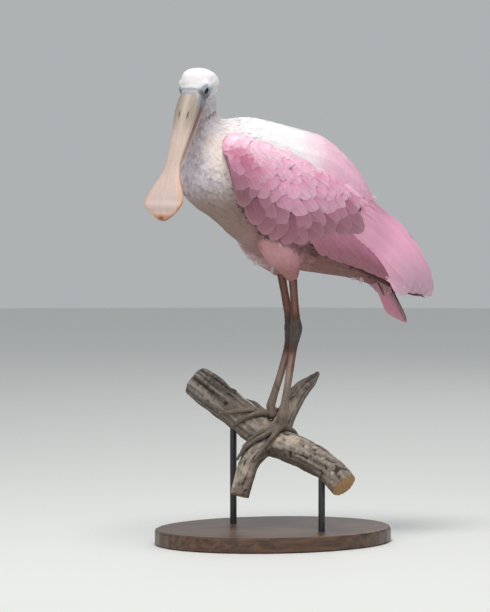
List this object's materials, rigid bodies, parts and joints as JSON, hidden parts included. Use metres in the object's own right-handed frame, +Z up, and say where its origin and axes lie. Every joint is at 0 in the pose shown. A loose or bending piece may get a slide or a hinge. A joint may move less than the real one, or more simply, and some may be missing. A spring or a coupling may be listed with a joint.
{
  "type": "roseate spoonbill",
  "caption": "Life-size young roseate spoonbill standing on a cut length of branch, held by rods over a flat oval base.",
  "frame": {"origin": "centre of the base's underside, straight below the point between the feet", "axes": "+Z up, -X the way the bird's body faces, -Y towards its left side"},
  "size_m": [0.3894, 0.23, 0.5652],
  "materials": {
    "white_down": "short soft white feathers with bare grey skin round the eye",
    "grey_white_plumage": "shaggy grey-white feathers with dark flecks",
    "pale_plumage": "white to pale pink body feathers",
    "pink_plumage": "pink wing feathers in rows, dark at the tips of the longest",
    "rose_tail": "rose and pale pink tail feathers",
    "bill_horn": "smooth pinkish-grey horn with a warm rim",
    "eye": "glossy, dark pupil in a dark red iris",
    "leg_scale": "scaled skin, reddish brown above and grey below",
    "weathered_bark": "rough grey weathered wood with pale lichen",
    "rod_metal": "dark satin",
    "base_board": "dark satin varnish"
  },
  "bodies": {
    "root": {"head": "white_down", "bill_upper": "bill_horn", "bill_lower": "bill_horn", "eye_left": "eye", "eye_right": "eye", "neck": "grey_white_plumage", "torso": "pale_plumage", "wing_left": "pink_plumage", "wing_right": "pink_plumage", "tail": "rose_tail", "thigh_left": "pale_plumage", "thigh_right": "pale_plumage", "leg_left": "leg_scale", "leg_right": "leg_scale", "foot_left": "leg_scale", "foot_right": "leg_scale", "stand_perch": "weathered_bark", "stand_rod_back": "rod_metal", "stand_rod_front": "rod_metal", "stand_base": "base_board"}
  },
  "joints": []
}
